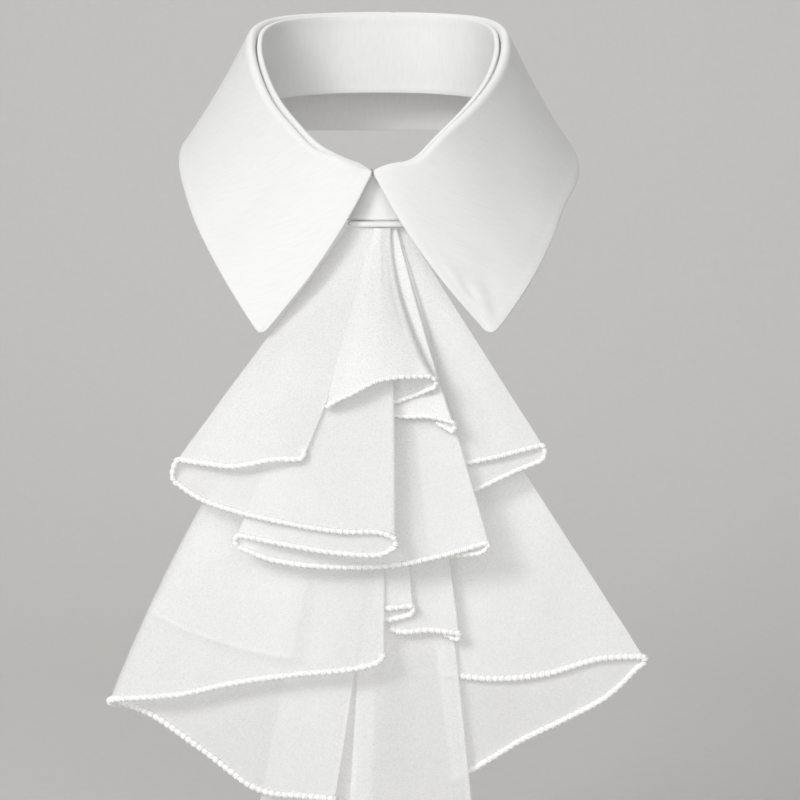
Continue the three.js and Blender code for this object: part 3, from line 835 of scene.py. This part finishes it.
def makeSergingTree():
    tree = bpy.data.node_groups.new("overlockedHem", "GeometryNodeTree")
    face = tree.interface
    face.new_socket("Geometry", in_out="OUTPUT", socket_type="NodeSocketGeometry")
    face.new_socket("Geometry", in_out="INPUT", socket_type="NodeSocketGeometry")
    for name in serging:
        kind = "NodeSocketInt" if name == "Seed" else "NodeSocketFloat"
        face.new_socket(name, in_out="INPUT", socket_type=kind)
    face.new_socket("Material", in_out="INPUT", socket_type="NodeSocketMaterial")
    given = addNode(tree, "NodeGroupInput").outputs

    edge = addNode(tree, "GeometryNodeMeshToCurve", None, {"Mesh": given["Geometry"]})
    even = addNode(
        tree, "GeometryNodeResampleCurve", {"mode": "LENGTH"},
        {"Curve": edge.outputs[0], "Length": given["Step"]},
    )
    # The scallops: a wave along the hem, kept as the radius of the line.
    spot = addNode(tree, "GeometryNodeSplineParameter")
    share = addNode(
        tree, "ShaderNodeMath", {"operation": "DIVIDE"},
        {0: spot.outputs["Length"], 1: given["Scallop length"]},
    )
    phase = addNode(tree, "ShaderNodeMath", {"operation": "MULTIPLY"}, {0: share.outputs[0], 1: math.pi})
    wave = addNode(tree, "ShaderNodeMath", {"operation": "SINE"}, {0: phase.outputs[0]})
    bulge = addNode(tree, "ShaderNodeMath", {"operation": "ABSOLUTE"}, {0: wave.outputs[0]})
    swell = addNode(
        tree, "ShaderNodeMapRange", None,
        {"Value": bulge.outputs[0], "To Min": given["Valley"], "To Max": 1.0},
    )
    waved = addNode(
        tree, "GeometryNodeSetCurveRadius", None, {"Curve": even.outputs[0], "Radius": swell.outputs[0]}
    )
    # Each scallop also stands off the edge a little.
    radius = addNode(tree, "GeometryNodeInputRadius")
    offWay = addNode(
        tree, "GeometryNodeInputNamedAttribute", {"data_type": "FLOAT_VECTOR"}, {"Name": "offWay"}
    )
    reach = addNode(
        tree, "ShaderNodeMath", {"operation": "MULTIPLY"},
        {0: radius.outputs[0], 1: given["Scallop height"]},
    )
    off = addNode(
        tree, "ShaderNodeVectorMath", {"operation": "SCALE"},
        {0: offWay.outputs["Attribute"], "Scale": reach.outputs[0]},
    )
    line = addNode(
        tree, "GeometryNodeSetPosition", None, {"Geometry": waved.outputs[0], "Offset": off.outputs[0]}
    )
    # The cord that fills the loops.
    cordRound = addNode(
        tree, "GeometryNodeCurvePrimitiveCircle", None, {"Resolution": 8, "Radius": given["Cord"]}
    )
    cord = addNode(
        tree, "GeometryNodeCurveToMesh", None,
        {
            "Curve": line.outputs[0], "Profile Curve": cordRound.outputs[0],
            "Scale": radius.outputs[0], "Fill Caps": True,
        },
    )
    # One loop of thread, leaning along the hem.
    lean = addNode(tree, "ShaderNodeCombineXYZ", None, {"X": given["Slant"]})
    ring = addNode(tree, "GeometryNodeCurvePrimitiveCircle", None, {"Resolution": 9, "Radius": given["Cord"]})
    shaped = addNode(
        tree, "GeometryNodeTransform", None, {"Geometry": ring.outputs[0], "Rotation": lean.outputs[0]}
    )
    halfThread = addNode(
        tree, "ShaderNodeMath", {"operation": "MULTIPLY"}, {0: given["Thread"], 1: 0.5}
    )
    strand = addNode(
        tree, "GeometryNodeCurvePrimitiveCircle", None, {"Resolution": 4, "Radius": halfThread.outputs[0]}
    )
    loop = addNode(
        tree, "GeometryNodeCurveToMesh", None,
        {"Curve": shaped.outputs[0], "Profile Curve": strand.outputs[0]},
    )
    # Its place: round the cord and square to the cloth, on every second point.
    tangent = addNode(tree, "GeometryNodeInputTangent")
    clothWay = addNode(
        tree, "GeometryNodeInputNamedAttribute", {"data_type": "FLOAT_VECTOR"}, {"Name": "clothWay"}
    )
    along = addNode(
        tree, "FunctionNodeAlignRotationToVector", {"axis": "Z"}, {"Vector": tangent.outputs[0]}
    )
    flat = addNode(
        tree, "FunctionNodeAlignRotationToVector", {"axis": "X", "pivot_axis": "Z"},
        {"Rotation": along.outputs[0], "Vector": clothWay.outputs["Attribute"]},
    )
    number = addNode(tree, "GeometryNodeInputIndex")
    second = addNode(tree, "ShaderNodeMath", {"operation": "MODULO"}, {0: number.outputs[0], 1: 2.0})
    uneven = addNode(
        tree, "FunctionNodeRandomValue", {"data_type": "FLOAT"},
        {"Min": 0.98, "Max": 1.1, "Seed": given["Seed"]},
    )
    size = addNode(
        tree, "ShaderNodeMath", {"operation": "MULTIPLY"},
        {0: radius.outputs[0], 1: uneven.outputs["Value"]},
    )
    loops = addNode(
        tree, "GeometryNodeInstanceOnPoints", None,
        {
            "Points": line.outputs[0], "Selection": second.outputs[0], "Instance": loop.outputs[0],
            "Rotation": flat.outputs[0], "Scale": size.outputs[0],
        },
    )
    both = addNode(tree, "GeometryNodeJoinGeometry")
    tree.links.new(loops.outputs[0], both.inputs[0])
    tree.links.new(cord.outputs[0], both.inputs[0])
    real = addNode(tree, "GeometryNodeRealizeInstances", None, {"Geometry": both.outputs[0]})
    soft = addNode(tree, "GeometryNodeSetShadeSmooth", None, {"Geometry": real.outputs[0]})
    done = addNode(
        tree, "GeometryNodeSetMaterial", None,
        {"Geometry": soft.outputs[0], "Material": given["Material"]},
    )
    addNode(tree, "NodeGroupOutput", None, {0: done.outputs[0]})
    return tree


sergingTree = makeSergingTree()


# Runs a tree over a source object and keeps the result as a plain mesh.
def runTree(name, source, tree, values):
    modifier = source.modifiers.new("tree", "NODES")
    modifier.node_group = tree
    for item in tree.interface.items_tree:
        if item.in_out == "INPUT" and item.name in values:
            modifier[item.identifier] = values[item.name]
    bpy.context.view_layer.update()
    evaluated = source.evaluated_get(bpy.context.evaluated_depsgraph_get())
    mesh = bpy.data.meshes.new_from_object(evaluated)
    mesh.name = name
    bpy.data.objects.remove(source)
    return placeObject(name, mesh)


def makeHem(node, grid, size):
    normals = gridNormals(grid)[-1]
    line = grid[-1]
    mesh = bpy.data.meshes.new(node + "_edge")
    mesh.from_pydata([p * mm for p in line], [(k, k + 1) for k in range(len(line) - 1)], [])
    ways = {"clothWay": normals, "offWay": [(a - b).normalized() for a, b in zip(line, grid[-2])]}
    for attribute, directions in ways.items():
        data = mesh.attributes.new(attribute, "FLOAT_VECTOR", "POINT").data
        for k, direction in enumerate(directions):
            data[k].vector = direction
    source = placeObject(node + "_edge", mesh)
    values = {n: v if n in plainNumbers else v * mm for n, v in serging.items()}
    values["Cord"] *= size
    hem = runTree(node + "_hem", source, sergingTree, {**values, "Material": thread})
    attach(hem, "root")
    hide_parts(node)
    return hem


def makeRuffle(node, rows, topZ, hemSize=1.0, foldStart=False, foldEnd=False, cloth=chiffon):
    grid = hungGrid(rows, topZ)
    if foldStart:
        grid = foldedEdge(grid, True)
    if foldEnd:
        grid = foldedEdge(grid, False)
    hem = makeHem(node, grid, hemSize)
    piece = clothWall(node + "_cloth", grid, lambda i, j: ruffles["wall"], cloth)
    declareCloth(piece, node)


# Upper tier, left: one ruffle folded over five times, hem to hem down the front.
leftCascade = [
    row(305, 449, 18.0, 1, bow=6),
    row(301, 457, 18.1, 0.4, bow=6),
    row(274, 458, 18.5, -2.5, bow=3),
    row(236, 465, 17.9, -7),
    row(205, 462, 16.0, -10.4),
    row(180, 458, 14.7, -12, turn=-1),
    row(178, 482, 13.0, -11.8),
    row(203, 498, 14.0, -10.4),
    row(240, 511, 15.5, -7.6),
    row(294, 523, 16.9, -3.6),
    row(340, 530, 17.3, 0.2),
    row(378, 531, 17.3, 2.6, bow=3),
    row(392, 536, 17.3, 2.8, bow=3, turn=1),
    row(392, 548, 16.25, 2.8, bow=3),
    row(378, 554, 16.2, 2.4, bow=3),
    row(340, 552, 16.2, 0),
    row(296, 545, 15.6, -3),
    row(240, 534, 14.3, -7, turn=-1),
    row(240, 546, 13.1, -7),
    row(274, 559, 13.0, -4.5),
    row(328, 565, 12.5, -1.2),
    row(386, 565, 12.05, 3),
    row(436, 556, 12.2, 6.2),
    row(487, 541, 12.8, 8.4, turn=1),
    row(478, 552, 11.7, 8.4),
    row(430, 556, 11.0, 6),
]

# Upper tier, centre: the front pleat, folded back under itself and out again below.
frontPleat = [
    row(327, 405, 19.0, -1.2, bow=-2),
    row(332, 402, 20.0, -0.8, bow=-2),
    row(340, 398, 21.0, -0.3, bow=-2),
    row(356, 390, 21.9, 0.5, bow=-2),
    row(378, 379, 22.2, 1.6, bow=-3),
    row(404, 375, 21.3, 3.1, bow=-8),
    row(425, 375, 20.1, 4.8, bow=-12, turn=1),
    row(428, 388, 16.7, 5.1, bow=-8),
    row(414, 394, 14.6, 4.7, bow=-6),
    row(390, 402, 14.8, 2.2, bow=-4, turn=-1),
    row(390, 412, 13.75, 2.2, bow=-4),
    row(404, 415, 13.75, 3.6, bow=-4),
    row(428, 415, 14.3, 6, bow=-3),
    row(450, 420, 15.6, 7.8, bow=-2, turn=1),
    row(451, 430, 14.5, 7.8, bow=-2),
    row(436, 421, 13.4, 6.4, bow=-2),
]

# Upper tier, right: a flare turned under at its outer edge.
rightFlare = [
    row(434, 462, 9.95, 6),
    row(464, 461, 9.95, 8),
    row(493, 456, 10.1, 9.4),
    row(520, 449, 10.4, 10.4),
    row(541, 444, 10.2, 11.2, turn=1),
    row(539, 460, 8.9, 11.2),
    row(512, 471, 8.9, 10),
    row(474, 489, 8.9, 8.2),
    row(456, 498, 8.9, 7.2),
]

# Lower tier, left: a wide ruffle folded back on the left and falling on below.
lowerLeft = [
    row(383, 655, 8.2, 3),
    row(376, 662, 8.35, 2.2),
    row(350, 668, 8.4, 0),
    row(304, 672, 8.5, -4),
    row(240, 681, 8.6, -9),
    row(180, 693, 8.4, -14, bow=-10),
    row(122, 697, 8.0, -19, bow=-17, turn=-1),
    row(124, 702, 4.2, -19, bow=-17),
    row(152, 713, 4.1, -16, bow=-12),
    row(200, 746, 4.1, -12, bow=-6),
    row(256, 786, 4.2, -8),
    row(300, 794, 4.3, -3, bow=5),
    row(334, 797, 4.1, 1.5, bow=10),
]

# Lower tier, right: a wide flare turned under at its outer edge.
lowerRight = [
    row(440, 672, 1.5, 5),
    row(493, 677, 1.5, 9),
    row(545, 673, 1.65, 12),
    row(600, 657, 1.75, 15),
    row(642, 655, 1.7, 17, turn=1),
    row(638, 665, 0.6, 17),
    row(605, 695, 0.55, 15),
    row(560, 720, 0.5, 12),
    row(515, 742, 0.5, 9),
    row(472, 768, 0.5, 6),
    row(452, 777, 0.5, 5),
]

# Middle of the lower tier: a short narrow pleat, a wider one behind it, an underlay on the left,
# the long tail down the middle and a last layer behind it.
shortPleat = [
    row(374, 606, 7.1, 1.5),
    row(388, 607, 7.2, 2.4),
    row(400, 606, 7.25, 3.3),
    row(411, 605, 7.2, 4.3, turn=1),
    row(409, 614, 6.15, 4.3),
    row(394, 618, 6.15, 3),
    row(376, 619, 6.15, 1.8),
]
middlePleat = [
    row(390, 627, 5.1, 3.2),
    row(402, 631, 5.1, 4.4),
    row(429, 629, 5.1, 7),
    row(457, 632, 5.1, 9, bow=5, turn=1),
    row(455, 638, 4.05, 9, bow=5),
    row(440, 630, 4.05, 7.6, bow=3),
]
leftUnderlay = [
    row(156, 606, 7.0, -16, bow=-6),
    row(160, 613, 7.15, -15.4, bow=-6),
    row(182, 625, 7.3, -14, bow=-5),
    row(214, 637, 7.4, -12, bow=-3),
    row(249, 648, 7.4, -9.4),
    row(292, 655, 7.3, -6.6),
]
longTail = [
    row(349, 812, 2.85, -3.5, bow=5),
    row(362, 815, 2.9, -2.4, bow=3),
    row(385, 812, 2.95, -1),
    row(414, 815, 2.85, 2.4),
    row(444, 812, 2.9, 6, bow=2),
    row(464, 811, 2.9, 8.6, bow=4),
    row(471, 808, 2.8, 9.4, bow=4),
]
backTail = [
    row(258, 812, 1.6, -9),
    row(288, 818, 1.65, -6),
    row(322, 816, 1.6, -3),
    row(350, 818, 1.6, -0.4),
    row(372, 818, 1.6, 2.2),
]

pleatTop, tierTop = ruffles["pleatTop"], ruffles["tierTop"]
makeRuffle("left_cascade", leftCascade, pleatTop, 0.85, foldStart=True)
# The front pleat is drawn in the more opaque chiffon copy: painted brightness for the light on it.
makeRuffle("front_pleat", frontPleat, pleatTop, 0.68, foldStart=True, cloth=brightenedChiffon)
makeRuffle("right_flare", rightFlare, pleatTop, 0.8)
makeRuffle("long_tail", longTail, pleatTop, foldEnd=True)
print("upper tier made")
makeRuffle("lower_left_ruffle", lowerLeft, tierTop, foldStart=True, foldEnd=True)
makeRuffle("lower_right_ruffle", lowerRight, tierTop)
makeRuffle("short_pleat", shortPleat, tierTop, 0.9)
makeRuffle("middle_pleat", middlePleat, tierTop, 0.9)
makeRuffle("left_underlay", leftUnderlay, tierTop)
makeRuffle("back_tail", backTail, tierTop)
print("lower tier made")


# The hook and the eye at the throat: bent wire.
wires = {
    "radius": 0.3,
    "hook": [
        (0.8, -58.3, -2.1), (-0.4, -58.8, -2.1), (-1.7, -59.4, -2.1), (-2.7, -59.45, -2.1), (-3.2, -59, -2.1),
    ],
    "eye": [
        (-3.9, -58.3, -1.2), (-2.9, -58.3, -0.9), (-2.0, -58.3, -1.5),
        (-2.0, -58.3, -2.7), (-2.9, -58.3, -3.3), (-3.9, -58.3, -3.0),
    ],
}


def makeWire(name):
    line = smoothLine([Vector(p) for p in wires[name]], 8)
    data = bpy.data.curves.new(name + "_wire", "CURVE")
    data.dimensions = "3D"
    data.bevel_depth = wires["radius"] * mm
    data.bevel_resolution = 4
    data.use_fill_caps = True
    spline = data.splines.new("POLY")
    spline.points.add(len(line) - 1)
    for point, p in zip(spline.points, line):
        point.co = (*(p * mm), 1)
    source = placeObject(name + "_path", data)
    bpy.context.view_layer.update()
    evaluated = source.evaluated_get(bpy.context.evaluated_depsgraph_get())
    mesh = bpy.data.meshes.new_from_object(evaluated)
    bpy.data.objects.remove(source)
    mesh.shade_smooth()
    mesh.materials.clear()
    mesh.materials.append(nickel)
    piece = placeObject(name + "_wire", mesh)
    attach(piece, "root")
    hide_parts(name)


makeWire("hook")
makeWire("eye")
print("hook and eye made")


# Studio, in metres: a pale paper sweep, a soft key light from the upper left, a large softbox in
# front, one lamp for the backdrop and one behind, and an even sky.
studio = {
    "floor": -0.40,
    "near": -3.0,
    "bendFrom": 0.55,
    "bendRadius": 0.9,
    "bendSteps": 16,
    "top": 2.8,
    "halfWidth": 3.2,
    "sky": "#F7F7F5",
    "skyStrength": 0.26,
}
lamps = [
    {"name": "key", "at": (-0.95, -1.45, 0.85), "aim": (0, -0.08, -0.1), "size": 0.55, "watts": 16.5},
    {"name": "softbox", "at": (-0.12, -2.3, 0.9), "aim": (0, -0.08, -0.1), "size": 2.4, "watts": 33.0},
    {"name": "backdrop", "at": (0, 0.75, 1.9), "aim": (0, 1.45, 0.2), "size": 1.2, "watts": 15.0},
    {"name": "behind", "at": (0.5, 1.2, 1.3), "aim": (0, 0, 0), "size": 0.9, "watts": 3.0},
]


def makeStudio():
    profile = [(studio["near"], studio["floor"]), (studio["bendFrom"], studio["floor"])]
    for k in range(1, studio["bendSteps"] + 1):
        angle = math.pi / 2 * k / studio["bendSteps"]
        profile.append((
            studio["bendFrom"] + studio["bendRadius"] * math.sin(angle),
            studio["floor"] + studio["bendRadius"] * (1 - math.cos(angle)),
        ))
    profile.append((profile[-1][0], studio["top"]))
    points = [(side * studio["halfWidth"], y, z) for y, z in profile for side in (-1, 1)]
    faces = [(2 * k, 2 * k + 1, 2 * k + 3, 2 * k + 2) for k in range(len(profile) - 1)]
    mesh = bpy.data.meshes.new("paper_sweep")
    mesh.from_pydata(points, [], faces)
    mesh.shade_smooth()
    mesh.materials.append(makePaper())
    sweep = placeObject("paper_sweep", mesh)
    for lamp in lamps:
        data = bpy.data.lights.new(lamp["name"], "AREA")
        data.size = lamp["size"]
        data.energy = lamp["watts"]
        light = placeObject(lamp["name"], data)
        light.location = lamp["at"]
        light.rotation_euler = (Vector(lamp["aim"]) - light.location).to_track_quat("-Z", "Y").to_euler()
        light.visible_camera = False
    world = bpy.data.worlds.new("studio")
    world.use_nodes = True
    world.node_tree.nodes["Background"].inputs["Color"].default_value = linear(studio["sky"])
    world.node_tree.nodes["Background"].inputs["Strength"].default_value = studio["skyStrength"]
    bpy.context.scene.world = world
    bpy.context.scene.view_settings.view_transform = "Standard"
    # Light goes through many thicknesses of sheer cloth.
    bpy.context.scene.cycles.diffuse_bounces = 10
    bpy.context.scene.cycles.transparent_max_bounces = 32


makeStudio()
print("studio made")
